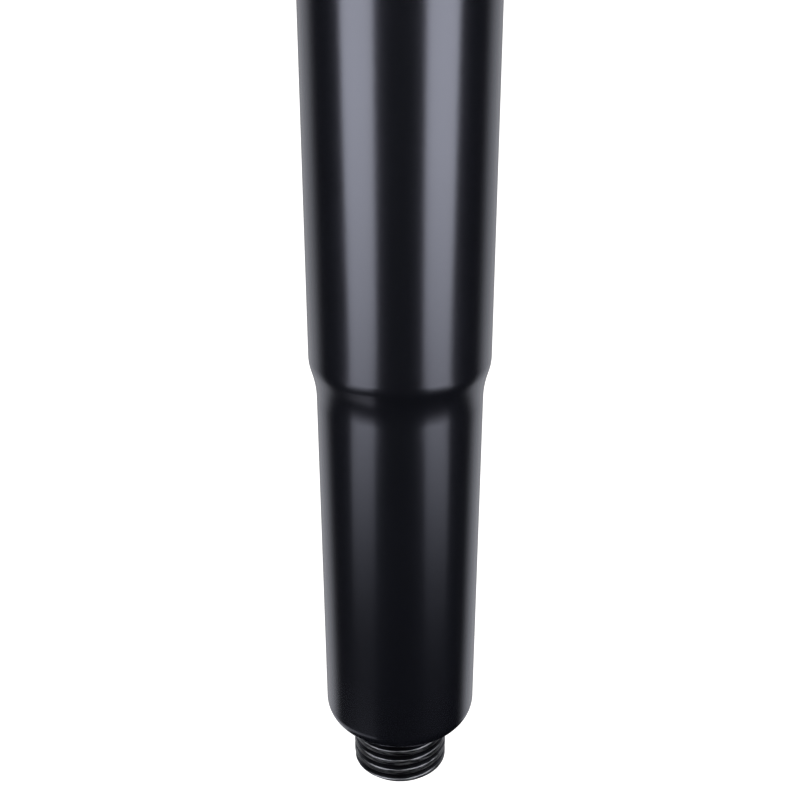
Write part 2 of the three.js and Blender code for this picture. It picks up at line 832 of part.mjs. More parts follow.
// A pin straight across the mast, a little short of the outer faces that it comes through
function crossPin(name, radius, outerRadius, height) {
  return piece(name, crossBar(radius, outerRadius - seatGap, quarterTurn, height), brightSteel);
}

function headSleeve() {
  const bore = mastRadius + pressGap;
  const sleeve = turned([
    [bore, -headLength],
    [headRadius - headEdge, -headLength],
    [headRadius, -headLength + headEdge],
    [headRadius, -headEdge],
    [headRadius - headEdge, 0],
    [bore, 0],
  ], tubeFacets);
  const pinHole = crossBar(headPinRadius + pressGap, headRadius + overrun, quarterTurn, -headLength / 2);
  return piece("head_sleeve", sleeve.subtract(pinHole), powderCoat);
}

function headCap() {
  const spigot = mastBore - pressGap;
  const brim = headRadius - headEdge;
  const roundCentre = [brim - headCapRound, headCapHeight + pressGap - headCapRound];
  const profile = [
    [0, -headCapSpigot],
    [spigot, -headCapSpigot],
    [spigot, pressGap],
    [brim, pressGap],
    ...arc(roundCentre, headCapRound, 0, quarterTurn, 4),
    [0, headCapHeight + pressGap],
  ];
  return piece("head_cap", turned(profile, tubeFacets), gripPlastic);
}

function at(height, pieces) {
  const group = new THREE.Group();
  group.position.z = height;
  group.add(...pieces);
  return group;
}

const clamp = outward(0, lockHeight, [
  clampInsert(),
  clampShoe(),
  clampScrew(),
  clampKnob(),
  knobCap(),
]);
const plunger = outward(Math.PI, lockHeight, [
  plungerSleeve(),
  plungerPin(),
  plungerSpring(),
  plungerGrip(),
  plungerClip(),
  gripCap(),
]);
const collar = at(tubeTop, [
  guideLiner(),
  clampCollar(),
  outward(quarterTurn, screwHeight, [collarScrew("collar_screw_back")]),
  outward(-quarterTurn, screwHeight, [collarScrew("collar_screw_front")]),
  clamp,
  plunger,
]);
const mast = at(mastFoot, [
  mastTube(),
  mastEndPlug(),
  glideRing(),
  crossPin("end_plug_pin", endPlugPinRadius, mastRadius, endPlugSpigot / 2),
]);
const head = at(mastTop, [
  headSleeve(),
  headCap(),
  crossPin("head_sleeve_pin", headPinRadius, headRadius, -headLength / 2),
]);

const pole = new THREE.Group();
pole.add(lowerTube(), threadedStud(), collar, mast, head);
export default pole;
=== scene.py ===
import bmesh
import bpy
import json
import math
from mathutils import Matrix, Vector


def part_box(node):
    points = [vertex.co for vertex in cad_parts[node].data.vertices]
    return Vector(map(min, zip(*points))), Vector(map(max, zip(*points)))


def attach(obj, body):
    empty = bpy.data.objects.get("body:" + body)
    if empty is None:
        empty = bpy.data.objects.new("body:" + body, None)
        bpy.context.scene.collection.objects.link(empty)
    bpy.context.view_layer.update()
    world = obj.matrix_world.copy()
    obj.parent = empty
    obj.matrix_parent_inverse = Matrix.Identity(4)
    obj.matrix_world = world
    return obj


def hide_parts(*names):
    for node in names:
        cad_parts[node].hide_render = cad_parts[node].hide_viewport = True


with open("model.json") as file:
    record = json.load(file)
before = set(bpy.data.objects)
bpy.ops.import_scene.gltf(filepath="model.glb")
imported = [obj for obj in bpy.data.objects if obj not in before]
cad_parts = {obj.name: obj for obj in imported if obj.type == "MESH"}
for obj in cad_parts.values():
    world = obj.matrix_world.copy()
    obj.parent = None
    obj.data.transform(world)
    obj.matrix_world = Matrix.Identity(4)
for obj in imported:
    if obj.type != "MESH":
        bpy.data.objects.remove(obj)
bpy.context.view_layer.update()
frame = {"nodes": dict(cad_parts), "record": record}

mm = 0.001
quarterTurn = math.pi / 2
fullTurn = 2 * math.pi
pressGap = 0.1 * mm  # drawn between pieces that are pressed together
near = 0.01 * mm  # radii and heights this close count as the same
firstColour, secondColour, mixedColour = 6, 7, 2  # the colour sockets of a Mix node
slotOf = {part["node"]: part["material_slot"] for part in frame["record"]["subparts"]}
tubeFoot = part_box("lower_tube")[0].z
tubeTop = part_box("lower_tube")[1].z
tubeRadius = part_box("lower_tube")[1].x
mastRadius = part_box("mast_tube")[1].x
lockHeight = sum(corner.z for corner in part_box("clamp_knob_cap")) / 2


def linear(hexColour):  # sRGB hex to the linear values that sockets take
    channels = [int(hexColour[k:k + 2], 16) / 255 for k in (1, 3, 5)]
    return [c / 12.92 if c <= 0.04045 else ((c + 0.055) / 1.055) ** 2.4 for c in channels] + [1]


def add(tree, kind, inputs=None, **settings):  # a node with its settings, and its links or values
    node = tree.nodes.new("ShaderNode" + kind)
    for name, value in settings.items():
        setattr(node, name, value)
    for key, value in (inputs or {}).items():
        if isinstance(value, bpy.types.Node):
            value = value.outputs[0]
        if isinstance(value, bpy.types.NodeSocket):
            tree.links.new(value, node.inputs[key])
        else:
            node.inputs[key].default_value = value
    return node


def newMaterial(name):
    material = bpy.data.materials.new(name)
    material.use_nodes = True
    material.node_tree.nodes.clear()
    return material, material.node_tree


def grain(size):  # noise scale for features of this size in metres
    return 1 / size


def bands(spacing):  # wave scale for lines this far apart, a wave is pi / 10 long at scale 1
    return math.pi / 10 / spacing


powderCoatLook = {
    "deep": "#141519",
    "pale": "#18191d",
    "cloud": 30 * mm,
    "roughness": (0.19, 0.24),
    "handling": 9 * mm,
    "peel": 1.6 * mm,  # orange peel of baked powder
    "peelHeight": 0.004 * mm,
    "gloss": 1.0,
    "glossTint": "#eaedfd",
    "skin": 1.0,
}


def powderCoat(look=powderCoatLook):  # baked polyester powder: blue-black, deep gloss, orange peel
    material, tree = newMaterial("powderCoatedSteel")
    where = add(tree, "TexCoord").outputs["Object"]
    cloud = add(tree, "TexNoise", {"Vector": where, "Scale": grain(look["cloud"]), "Detail": 3})
    colour = add(tree, "Mix", {
        "Factor": cloud,
        firstColour: linear(look["deep"]),
        secondColour: linear(look["pale"]),
    }, data_type="RGBA")
    handled = add(tree, "TexNoise", {
        "Vector": where,
        "Scale": grain(look["handling"]),
        "Detail": 4,
    })
    low, high = look["roughness"]
    roughness = add(tree, "MapRange", {"Value": handled, "To Min": low, "To Max": high})
    peel = add(tree, "TexNoise", {"Vector": where, "Scale": grain(look["peel"]), "Detail": 1})
    bump = add(tree, "Bump", {"Height": peel, "Strength": 1, "Distance": look["peelHeight"]})
    add(tree, "OutputMaterial", {"Surface": add(tree, "BsdfPrincipled", {
        "Base Color": colour.outputs[mixedColour],
        "Roughness": roughness,
        "IOR": 1.5,
        "Specular IOR Level": look["gloss"],
        "Specular Tint": linear(look["glossTint"]),
        "Coat Weight": look["skin"],
        "Coat Roughness": sum(look["roughness"]) / 2,
        "Coat Tint": linear(look["glossTint"]),
        "Normal": bump,
        "Coat Normal": bump,
    })})
    return material


studSteelLook = {
    "black": "#4c4d53",
    "rubbed": "#acaeb4",
    "patch": (3 * mm, 3 * mm, 0.4 * mm),  # rubbing runs along the thread
    "rubbing": (1.02, 1.42),  # wear plus noise where bare steel starts to show, and is all bare
    "roughness": (0.3, 0.56),  # of the black and of the rubbed steel
    "tool": 0.35 * mm,
    "toolHeight": 0.015 * mm,
}


def studSteel(look=studSteelLook):  # blacked machined steel: dark grooves, bright bare crests
    material, tree = newMaterial("blackedMachinedSteel")
    where = add(tree, "TexCoord").outputs["Object"]
    wear = add(tree, "Attribute", attribute_name="wear").outputs["Fac"]
    along = add(tree, "Mapping", {
        "Vector": where,
        "Scale": [grain(size) for size in look["patch"]],
    })
    patch = add(tree, "TexNoise", {"Vector": along, "Scale": 1, "Detail": 4, "Roughness": 0.65})
    rubbing = add(tree, "Math", {0: wear, 1: patch}, operation="ADD")
    start, end = look["rubbing"]
    bare = add(tree, "MapRange", {
        "Value": rubbing,
        "From Min": start,
        "From Max": end,
    }, interpolation_type="SMOOTHSTEP")
    colour = add(tree, "Mix", {
        "Factor": bare,
        firstColour: linear(look["black"]),
        secondColour: linear(look["rubbed"]),
    }, data_type="RGBA")
    smooth, rough = look["roughness"]
    roughness = add(tree, "MapRange", {"Value": bare, "To Min": smooth, "To Max": rough})
    tool = add(tree, "TexNoise", {"Vector": where, "Scale": grain(look["tool"]), "Detail": 3})
    bump = add(tree, "Bump", {"Height": tool, "Strength": 1, "Distance": look["toolHeight"]})
    add(tree, "OutputMaterial", {"Surface": add(tree, "BsdfPrincipled", {
        "Base Color": colour.outputs[mixedColour],
        "Metallic": 1,
        "Roughness": roughness,
        "Normal": bump,
    })})
    return material


blackSteelLook = {
    "colour": "#1d1c1d",
    "oily": "#262322",
    "patch": 2.5 * mm,
    "roughness": (0.32, 0.46),
    "grit": 0.4 * mm,
    "gritHeight": 0.006 * mm,
}


def blackSteel(look=blackSteelLook):  # black oxide on alloy steel: dark, with an oily brown cast
    material, tree = newMaterial("blackOxideSteel")
    where = add(tree, "TexCoord").outputs["Object"]
    patch = add(tree, "TexNoise", {"Vector": where, "Scale": grain(look["patch"]), "Detail": 4})
    colour = add(tree, "Mix", {
        "Factor": patch,
        firstColour: linear(look["colour"]),
        secondColour: linear(look["oily"]),
    }, data_type="RGBA")
    smooth, rough = look["roughness"]
    roughness = add(tree, "MapRange", {"Value": patch, "To Min": smooth, "To Max": rough})
    grit = add(tree, "TexNoise", {"Vector": where, "Scale": grain(look["grit"]), "Detail": 2})
    bump = add(tree, "Bump", {"Height": grit, "Strength": 1, "Distance": look["gritHeight"]})
    add(tree, "OutputMaterial", {"Surface": add(tree, "BsdfPrincipled", {
        "Base Color": colour.outputs[mixedColour],
        "Metallic": 1,
        "Roughness": roughness,
        "Normal": bump,
    })})
    return material


zincSteelLook = {  # bright zinc plate: pale, slightly blue, cloudy where it was handled
    "name": "zincPlatedSteel",
    "bright": "#c3c6cb",
    "dull": "#a5a8ad",
    "patch": 3 * mm,
    "roughness": (0.26, 0.4),
    "ring": 0.45 * mm,  # coarser than the real 0.1 mm feed, so that it shows
    "ringHeight": 0.003 * mm,
}
springSteelLook = {  # drawn wire: darker and greyer, with die lines
    "name": "drawnSpringSteel",
    "bright": "#8e8d8b",
    "dull": "#6d6b68",
    "patch": 1.5 * mm,
    "roughness": (0.3, 0.45),
    "ring": 0.3 * mm,
    "ringHeight": 0.002 * mm,
}
brassLook = {  # free-cutting brass, as turned: yellow, browner where air has reached it
    "name": "turnedBrass",
    "bright": "#c9a95c",
    "dull": "#9d7f3f",
    "patch": 2 * mm,
    "roughness": (0.28, 0.42),
    "ring": 0.4 * mm,
    "ringHeight": 0.003 * mm,
}


def turnedMetal(look):  # metal cut on a lathe: fine rings round its own axis
    material, tree = newMaterial(look["name"])
    where = add(tree, "TexCoord").outputs["Object"]
    patch = add(tree, "TexNoise", {"Vector": where, "Scale": grain(look["patch"]), "Detail": 4})
    colour = add(tree, "Mix", {
        "Factor": patch,
        firstColour: linear(look["bright"]),
        secondColour: linear(look["dull"]),
    }, data_type="RGBA")
    smooth, rough = look["roughness"]
    roughness = add(tree, "MapRange", {"Value": patch, "To Min": smooth, "To Max": rough})
    rings = add(tree, "TexWave", {
        "Vector": where,
        "Scale": bands(look["ring"]),
        "Distortion": 0.6,
        "Detail": 2,
    }, bands_direction="Z")
    bump = add(tree, "Bump", {"Height": rings, "Strength": 1, "Distance": look["ringHeight"]})
    add(tree, "OutputMaterial", {"Surface": add(tree, "BsdfPrincipled", {
        "Base Color": colour.outputs[mixedColour],
        "Metallic": 1,
        "Roughness": roughness,
        "Normal": bump,
    })})
    return material


nylonLook = {  # glass-filled nylon: matt charcoal, with paler clouds where fibres reach the skin
    "name": "glassFilledNylon",
    "deep": "#141417",
    "pale": "#252528",
    "flow": 7 * mm,
    "roughness": (0.44, 0.62),
    "texture": 0.8 * mm,  # real grain is 0.15 mm, drawn coarser so that it shows
    "textureDepth": 0.09 * mm,
    "ior": 1.53,
}
acetalLook = {  # natural acetal, moulded: milky white with a low waxy gloss
    "name": "naturalAcetal",
    "deep": "#d2d0c8",
    "pale": "#e2e0d9",
    "flow": 5 * mm,
    "roughness": (0.34, 0.44),
    "texture": 0.4 * mm,
    "textureDepth": 0.006 * mm,
    "ior": 1.48,
}
gripPlasticLook = {  # spark-eroded ABS: black with a fine even grain that kills the gloss
    "name": "sparkErodedAbs",
    "deep": "#121214",
    "pale": "#1a1a1c",
    "flow": 10 * mm,
    "roughness": (0.5, 0.6),
    "texture": 0.7 * mm,  # real grain is 0.1 mm, drawn coarser so that it shows
    "textureDepth": 0.08 * mm,
    "ior": 1.54,
}


def mouldedPlastic(look):  # polymer from a steel mould: the mould's texture over a cloudy flow
    material, tree = newMaterial(look["name"])
    where = add(tree, "TexCoord").outputs["Object"]
    flow = add(tree, "TexNoise", {
        "Vector": where,
        "Scale": grain(look["flow"]),
        "Detail": 4,
        "Distortion": 1.5,
    })
    colour = add(tree, "Mix", {
        "Factor": flow,
        firstColour: linear(look["deep"]),
        secondColour: linear(look["pale"]),
    }, data_type="RGBA")
    smooth, rough = look["roughness"]
    roughness = add(tree, "MapRange", {"Value": flow, "To Min": smooth, "To Max": rough})
    texture = add(tree, "TexNoise", {
        "Vector": where,
        "Scale": grain(look["texture"]),
        "Detail": 2,
        "Roughness": 0.6,
    })
    bump = add(tree, "Bump", {
        "Height": texture,
        "Strength": 1,
        "Distance": look["textureDepth"],
    })
    add(tree, "OutputMaterial", {"Surface": add(tree, "BsdfPrincipled", {
        "Base Color": colour.outputs[mixedColour],
        "Roughness": roughness,
        "IOR": look["ior"],
        "Normal": bump,
    })})
    return material


finishes = {
    "powder_coat": powderCoat(),
    "stud_steel": studSteel(),
    "black_steel": blackSteel(),
    "zinc_steel": turnedMetal(zincSteelLook),
    "spring_steel": turnedMetal(springSteelLook),
    "brass": turnedMetal(brassLook),
    "nylon": mouldedPlastic(nylonLook),
    "acetal": mouldedPlastic(acetalLook),
    "grip_plastic": mouldedPlastic(gripPlasticLook),
}
for node, cadPiece in frame["nodes"].items():
    cadPiece.data.materials.clear()
    cadPiece.data.materials.append(finishes[slotOf[node]])
print("finishes made:", len(finishes))


def arc(centre, radius, start, end, steps):  # points round a centre, angles from straight out
    angles = [start + (end - start) * i / steps for i in range(steps + 1)]
    return [(centre[0] + radius * math.cos(a), centre[1] + radius * math.sin(a)) for a in angles]


def rounded(corners, steps=5):  # an outline from (radius, height, fillet) corners
    outline = []
    for i, (radius, height, fillet) in enumerate(corners):
        if fillet == 0:
            outline.append((radius, height))
            continue
        before, after = corners[i - 1], corners[(i + 1) % len(corners)]
        back = (before[0] - radius, before[1] - height)
        on = (after[0] - radius, after[1] - height)
        back = [c / math.hypot(*back) for c in back]
        on = [c / math.hypot(*on) for c in on]
        half = math.acos(max(-1, min(1, back[0] * on[0] + back[1] * on[1]))) / 2
        reach = fillet / math.tan(half)
        mid = [back[0] + on[0], back[1] + on[1]]
        out = fillet / math.sin(half) / math.hypot(*mid)
        centre = (radius + mid[0] * out, height + mid[1] * out)
        spokes = [(radius + d[0] * reach - centre[0], height + d[1] * reach - centre[1])
                  for d in (back, on)]
        sweep = math.pi - 2 * half
        for k in range(steps + 1):
            first = math.sin(sweep * (1 - k / steps)) / math.sin(sweep)
            second = math.sin(sweep * k / steps) / math.sin(sweep)
            outline.append(tuple(centre[c] + first * spokes[0][c] + second * spokes[1][c]
                                 for c in (0, 1)))
    return outline


def turned(outline, sides=96, shape=None):  # (radius, height) points swept round Z: corners, faces
    corners, rings = [], []
    for radius, height in outline:
        first = len(corners)
        for i in range(1 if radius == 0 else sides):
            angle = fullTurn * i / sides
            r, z = shape(angle, radius, height) if shape and radius else (radius, height)
            corners.append((r * math.cos(angle), r * math.sin(angle), z))
        rings.append(range(first, len(corners)))
    if outline[0][0] > 0:
        rings.append(rings[0])
    faces = []
    for low, high in zip(rings, rings[1:]):
        for i in range(sides):
            j = (i + 1) % sides
            loop = [low[i % len(low)], low[j % len(low)], high[j % len(high)], high[i % len(high)]]
            faces.append(list(dict.fromkeys(loop)))
    return corners, faces


def bar(radius, start, end, sides=48):
    return turned([(0, start), (radius, start), (radius, end), (0, end)], sides)


def outward(azimuth, height):  # turns a piece's own Z straight out of the pole
    turn = Matrix.Rotation(azimuth, 4, "Z") @ Matrix.Rotation(quarterTurn, 4, "Y")
    return Matrix.Translation((0, 0, height)) @ turn


def placed(shell, matrix):
    return [tuple(matrix @ Vector(corner)) for corner in shell[0]], shell[1]


def meshPiece(name, shells, place=Matrix.Identity(4)):
    corners, faces = [], []
    for shellCorners, shellFaces in shells:
        start = len(corners)
        corners += shellCorners
        faces += [[start + k for k in face] for face in shellFaces]
    mesh = bpy.data.meshes.new(name)
    mesh.from_pydata(corners, [], faces)
    piece = bpy.data.objects.new(name, mesh)
    bpy.context.scene.collection.objects.link(piece)
    piece.matrix_world = place
    return piece


def applyModifiers(piece):
    bpy.context.view_layer.update()
    shown = piece.evaluated_get(bpy.context.evaluated_depsgraph_get())
    piece.data = bpy.data.meshes.new_from_object(shown)
    piece.modifiers.clear()


def drill(piece, shells):  # takes the shells' shape out of a piece
    cutter = meshPiece("cutter", shells)
    hole = piece.modifiers.new("hole", "BOOLEAN")
    hole.operation = "DIFFERENCE"
    hole.solver = "MANIFOLD"
    hole.object = cutter
    applyModifiers(piece)
    bpy.data.objects.remove(cutter)


def dress(piece, body, node, creaseAngle=30):  # rides, and takes its node's place and finish
    piece.data.materials.clear()
    piece.data.materials.append(finishes[slotOf[node]])
    piece.data.shade_smooth()
    piece.data.set_sharp_from_angle(angle=math.radians(creaseAngle))
    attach(piece, body)
    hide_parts(node)
    print("made", piece.name, "for", node)


lowerTubeSizes = {
    "wall": 1.5 * mm,
    "spigotLength": 75 * mm,
    "stepDepth": 1.4 * mm,
    "hollowRadius": 20 * mm,  # inside curve at the foot of the step
    "crownRadius": 8 * mm,  # outside curve at its top
    "slope": math.radians(16),
    "taper": 0.33 * mm,
    "endRound": 4.5 * mm,
    "mouthEdge": 0.3 * mm,
    "studHole": 10.1 * mm,
    "endSteps": 20,
    "stepSteps": 14,
    "sides": 256,
}


def tubeLine(size, inset):  # from the stud to the mouth: the outside, or the bore at an inset
    spigot = tubeRadius - size["stepDepth"]
    end, endRound = spigot - size["taper"], size["endRound"]
    stepFoot = tubeFoot + size["spigotLength"]
    hollow, crown, slope = size["hollowRadius"], size["crownRadius"], size["slope"]
    coneDepth = size["stepDepth"] - (hollow + crown) * (1 - math.cos(slope))
    stepTop = stepFoot + (hollow + crown) * math.sin(slope) + coneDepth / math.tan(slope)
    curve, steps = (end - endRound, tubeFoot + endRound), size["stepSteps"]
    return [
        (size["studHole"], tubeFoot + inset),
        *arc(curve, endRound - inset, -quarterTurn, 0, size["endSteps"]),
        *arc((spigot + hollow, stepFoot), hollow + inset, math.pi, math.pi - slope, steps),
        *arc((tubeRadius - crown, stepTop), crown - inset, -slope, 0, steps),
        (tubeRadius - inset, tubeTop - size["mouthEdge"]),
        (tubeRadius - inset - (0 if inset else size["mouthEdge"]), tubeTop),
    ]


def makeLowerTube(size=lowerTubeSizes):
    outline = tubeLine(size, 0) + tubeLine(size, size["wall"])[::-1]
    piece = meshPiece("lowerTube", [turned(outline, size["sides"])])
    dress(piece, "pole", "lower_tube")


threadedStudSizes = {
    "radius": 10 * mm,
    "pitch": 2.5 * mm,
    "depthShare": 0.5,  # of the pitch, as are the two below
    "crestShare": 0.44,
    "rootShare": 0.12,
    "chamfer": 0.9 * mm,
    "runout": 3,  # how steeply the thread ends under the tube
    "spareTurns": 2,  # past each end, they close up into its rim
    "rows": 24,  # for each turn of the thread
    "columns": 144,
    "merge": 0.001 * mm,
    "rubbedShare": 0.08,  # of the pitch on each side of a crest's edge
    "crestRub": 0.65,
    "chamferRub": 0.6,
    "plugRadius": 14.15 * mm,
    "plugRound": 4 * mm,
    "plugSteps": 8,
    "plugChamfer": 1.5 * mm,
    "creaseAngle": 75,  # the thread's corners are rounded by the shading
}


def threadAt(size, share):  # how far the flank has risen, and how rubbed it is, along the pitch
    flank = (1 - size["crestShare"] - size["rootShare"]) / 2
    crestFrom, crestTo = size["rootShare"] + flank, 1 - flank
    rise = min(max((share - size["rootShare"]) / flank, 0), 1, (1 - share) / flank)
    edge = min(abs(share - crestFrom), abs(share - crestTo)) / size["rubbedShare"]
    return rise, max(1 - edge, size["crestRub"] if crestFrom < share < crestTo else 0)


def cutThread(bm, size, tip, shank):  # rows climb the thread's profile, columns go round it
    wear = bm.verts.layers.float.new("wear")
    radius, pitch, spare = size["radius"], size["pitch"], size["spareTurns"]
    root = radius - size["depthShare"] * pitch
    columns, rows = size["columns"], size["rows"]
    lastRow = (math.ceil((shank - tip) / pitch) + 2 * spare) * rows
    grid = []
    for row in range(lastRow + 1):
        rise, rubbed = threadAt(size, row % rows / rows)
        for column in range(columns):
            height = tip + pitch * (row / rows + column / columns - spare)
            height = min(max(height, tip), shank)
            cone = min(height - tip, size["runout"] * (shank - height))
            r = lead = radius - size["chamfer"] + cone
            if height not in (tip, shank):
                r = min(root + (radius - root) * rise, lead)
            angle = fullTurn * column / columns
            corner = bm.verts.new((r * math.cos(angle), r * math.sin(angle), height))
            onChamfer = r == lead and height < tip + size["chamfer"]
            corner[wear] = size["chamferRub"] if onChamfer else rubbed
            grid.append(corner)
    for row in range(lastRow):
        for column in range(columns):
            here = row * columns + column
            ahead = here + 1 if column < columns - 1 else (row + rows) * columns
            if ahead + columns < len(grid):  # the last column meets the first, one turn higher
                bm.faces.new([grid[k] for k in (here, ahead, ahead + columns, here + columns)])
    bmesh.ops.remove_doubles(bm, verts=bm.verts, dist=size["merge"])
    bmesh.ops.dissolve_degenerate(bm, edges=bm.edges, dist=size["merge"])
    bmesh.ops.delete(bm, geom=[v for v in bm.verts if not v.link_faces], context="VERTS")
    bmesh.ops.holes_fill(bm, edges=bm.edges, sides=0)


def studPlug(size, shank, top):  # lies on the spun end from inside, and holds the stud
    root = size["radius"] - size["depthShare"] * size["pitch"]
    seat = tubeFoot + lowerTubeSizes["wall"] + pressGap
    end, foot = size["plugRadius"], size["plugRound"]
    return turned([
        (0, shank),
        (root, shank),
        (root, seat),
        *arc((end - foot, seat + foot), foot, -quarterTurn, 0, size["plugSteps"]),
        (end, top - size["plugChamfer"]),
        (end - size["plugChamfer"], top),
        (0, top),
    ], size["columns"])


def makeThreadedStud(size=threadedStudSizes):
    tip, top = (corner.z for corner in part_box("threaded_stud"))
    shank = tubeFoot + lowerTubeSizes["wall"] / 2
    bm = bmesh.new()
    cutThread(bm, size, tip, shank)
    plug = meshPiece("plug", [studPlug(size, shank, top)])
    bm.from_mesh(plug.data)
    bpy.data.objects.remove(plug)
    bmesh.ops.recalc_face_normals(bm, faces=bm.faces)
    piece = meshPiece("threadedStud", [])
    bm.to_mesh(piece.data)
    bm.free()
    dress(piece, "pole", "threaded_stud", size["creaseAngle"])


collarSizes = {
    "wall": 5 * mm,
    "grip": 45 * mm,  # down from the tube's mouth, the other heights go up from it
    "top": 44 * mm,
    "headRise": 1.5 * mm,
    "headFoot": 6 * mm,
    "band": 6 * mm,
    "edge": 1.5 * mm,
    "topRound": 5 * mm,
    "topSteps": 8,
    "lead": 0.8 * mm,
    "step": 2.2 * mm,
    "guideBore": 15.3 * mm,
    "sides": 240,
    "clampBoss": 13 * mm,
    "plungerBoss": 11 * mm,
    "bossSides": 96,
    "webThickness": 5 * mm,
    "webRound": 1.8 * mm,
    "webSteps": 8,
    "fluteDepth": 0.8 * mm,
    "fluteWidth": 2.8 * mm,
    "fluteRows": 24,
    "flutes": (27, 45, 63),  # degrees, in each quarter between the webs and the screws
    "shoeHole": (7.7 * mm, 25.6 * mm),  # radius, and how far out the wider hole starts
    "insertHole": 8.7 * mm,
    "plungerHole": (3.4 * mm, 18.9 * mm),
    "sleeveHole": 7.1 * mm,
    "holeSides": 72,
    "screwHole": 2.6 * mm,
    "screwHead": (4.7 * mm, 2.8 * mm),
    "screwDrop": 22 * mm,
    "screwSides": 48,
    "over": 1 * mm,
    "voxel": 0.5 * mm,
    "smoothing": (0.5, 12),  # how far, and how many times
    "creaseAngle": 35,
}


def collarShell(size):  # its turned wall, with shallow upright flutes round the grip
    radius, socket = tubeRadius + size["wall"], tubeRadius + pressGap
    head, bore, top = radius + size["headRise"], size["guideBore"], size["top"]
    edge, lead, topRound = size["edge"], size["lead"], size["topRound"]
    foot = -size["grip"]
    bandTop = foot + size["band"]
    fluteFoot, fluteTop = bandTop + 2 * edge, size["headFoot"] - 2 * edge
    flutes = [quarterTurn * k + math.radians(a) for k in range(4) for a in size["flutes"]]

    def fluted(angle, r, z):
        if abs(r - radius) > near or not fluteFoot <= z <= fluteTop:
            return r, z
        off = min(abs(math.remainder(angle - flute, fullTurn)) for flute in flutes) * radius
        ends = min(1, (z - fluteFoot) / edge, (fluteTop - z) / edge)
        hollow = max(0, 1 - (2 * off / size["fluteWidth"]) ** 2)
        return r - size["fluteDepth"] * ends * hollow, z

    rows = size["fluteRows"]
    return turned([
        (socket + lead, foot),
        (head - edge, foot),
        (head, foot + edge),
        (head, bandTop),
        (radius, bandTop + edge),
        *[(radius, fluteFoot + (fluteTop - fluteFoot) * i / rows) for i in range(rows + 1)],
        (radius, size["headFoot"] - edge),
        (head, size["headFoot"]),
        *arc((head - topRound, top - topRound), topRound, 0, quarterTurn, size["topSteps"]),
        (bore + lead, top),
        (bore, top - lead),
        (bore, size["step"]),
        (socket, size["step"]),
        (socket, foot + lead),
    ], size["sides"], fluted)


def collarBoss(size, radius, reach):
    start, edge = size["guideBore"] + 2 * size["lead"], size["edge"]
    return turned([
        (0, start),
        (radius + edge, start),
        (radius, reach - edge),
        (radius - edge, reach),
        (0, reach),
    ], size["bossSides"])


def collarWeb(size, reach, level):  # braces a boss from the grip below, its rim is a half round
    radius, edge, webRound = tubeRadius + size["wall"], size["edge"], size["webRound"]
    inner, foot = tubeRadius + pressGap + edge, -size["grip"] + 2 * size["band"]
    side = size["webThickness"] / 2 - webRound
    turns = [quarterTurn * k / size["webSteps"] for k in range(size["webSteps"] + 1)]
    bend = [(webRound - math.cos(a) * webRound, side + math.sin(a) * webRound) for a in turns]
    corners = []
    for inset, y in [(inset, -y) for inset, y in bend[::-1]] + bend:
        corners += [
            (inner, y, foot),
            (radius - inset, y, foot),
            (reach - 2 * edge - inset, y, level),
            (inner, y, level),
        ]
    ring = 4  # corners in each layer across the web
    last = len(corners) - ring
    faces = [[i + k, i + (k + 1) % ring, i + (k + 1) % ring + ring, i + k + ring]
             for i in range(0, last, ring) for k in range(ring)]
    faces += [list(range(ring))[::-1], list(range(last, last + ring))]
    return corners, faces


def steppedHole(start, narrow, seat, wide, end, sides):
    line = [(0, start), (narrow, start), (narrow, seat), (wide, seat), (wide, end), (0, end)]
    return turned(line, sides)


def drillCollar(piece, size, low, high):
    bore, over = size["guideBore"], size["over"]
    for azimuth, reach, (narrow, seat), wide in (
        (0, high.x, size["shoeHole"], size["insertHole"]),
        (math.pi, -low.x, size["plungerHole"], size["sleeveHole"]),
    ):
        hole = steppedHole(bore - over, narrow, seat, wide, reach + over, size["holeSides"])
        drill(piece, [placed(hole, outward(azimuth, lockHeight))])
    radius = tubeRadius + size["wall"]
    wide, depth = size["screwHead"]
    end = radius + size["headRise"] + over
    hole = steppedHole(bore, size["screwHole"], radius - depth, wide, end, size["screwSides"])
    for azimuth in (quarterTurn, -quarterTurn):
        drill(piece, [placed(hole, outward(azimuth, tubeTop - size["screwDrop"]))])


def makeCollar(size=collarSizes):
    low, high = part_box("clamp_collar")
    lock = lockHeight - tubeTop
    shells = [collarShell(size)]
    for azimuth, reach, radius in (
        (0, high.x, size["clampBoss"]),
        (math.pi, -low.x, size["plungerBoss"]),
    ):
        shells.append(placed(collarBoss(size, radius, reach), outward(azimuth, lock)))
        shells.append(placed(collarWeb(size, reach, lock), Matrix.Rotation(azimuth, 4, "Z")))
    piece = meshPiece("clampCollar", shells, Matrix.Translation((0, 0, tubeTop)))
    voxels = piece.modifiers.new("mould", "REMESH")
    voxels.mode = "VOXEL"
    voxels.voxel_size = size["voxel"]
    fillet = piece.modifiers.new("fillets", "SMOOTH")
    fillet.factor, fillet.iterations = size["smoothing"]
    applyModifiers(piece)
    drillCollar(piece, size, low, high)
    dress(piece, "pole", "clamp_collar", size["creaseAngle"])


def hexagonal(acrossFlats):  # radius of a hexagon at an angle
    side = math.pi / 3
    return lambda angle: acrossFlats / 2 / math.cos(angle % side - side / 2)


collarScrewSizes = {
    "shank": 2.5 * mm,
    "point": 0.4 * mm,
    "head": 4.5 * mm,
    "headHeight": 2.6 * mm,
    "dome": 1.9 * mm,
    "domeSteps": 10,
    "socket": 3 * mm,
    "socketDepth": 1.6 * mm,
    "socketMouth": (1.9 * mm, 0.1 * mm),  # radius and depth of its bevel
    "socketRadius": 1.75 * mm,
    "socketPoint": 0.5 * mm,
    "sides": 96,
}


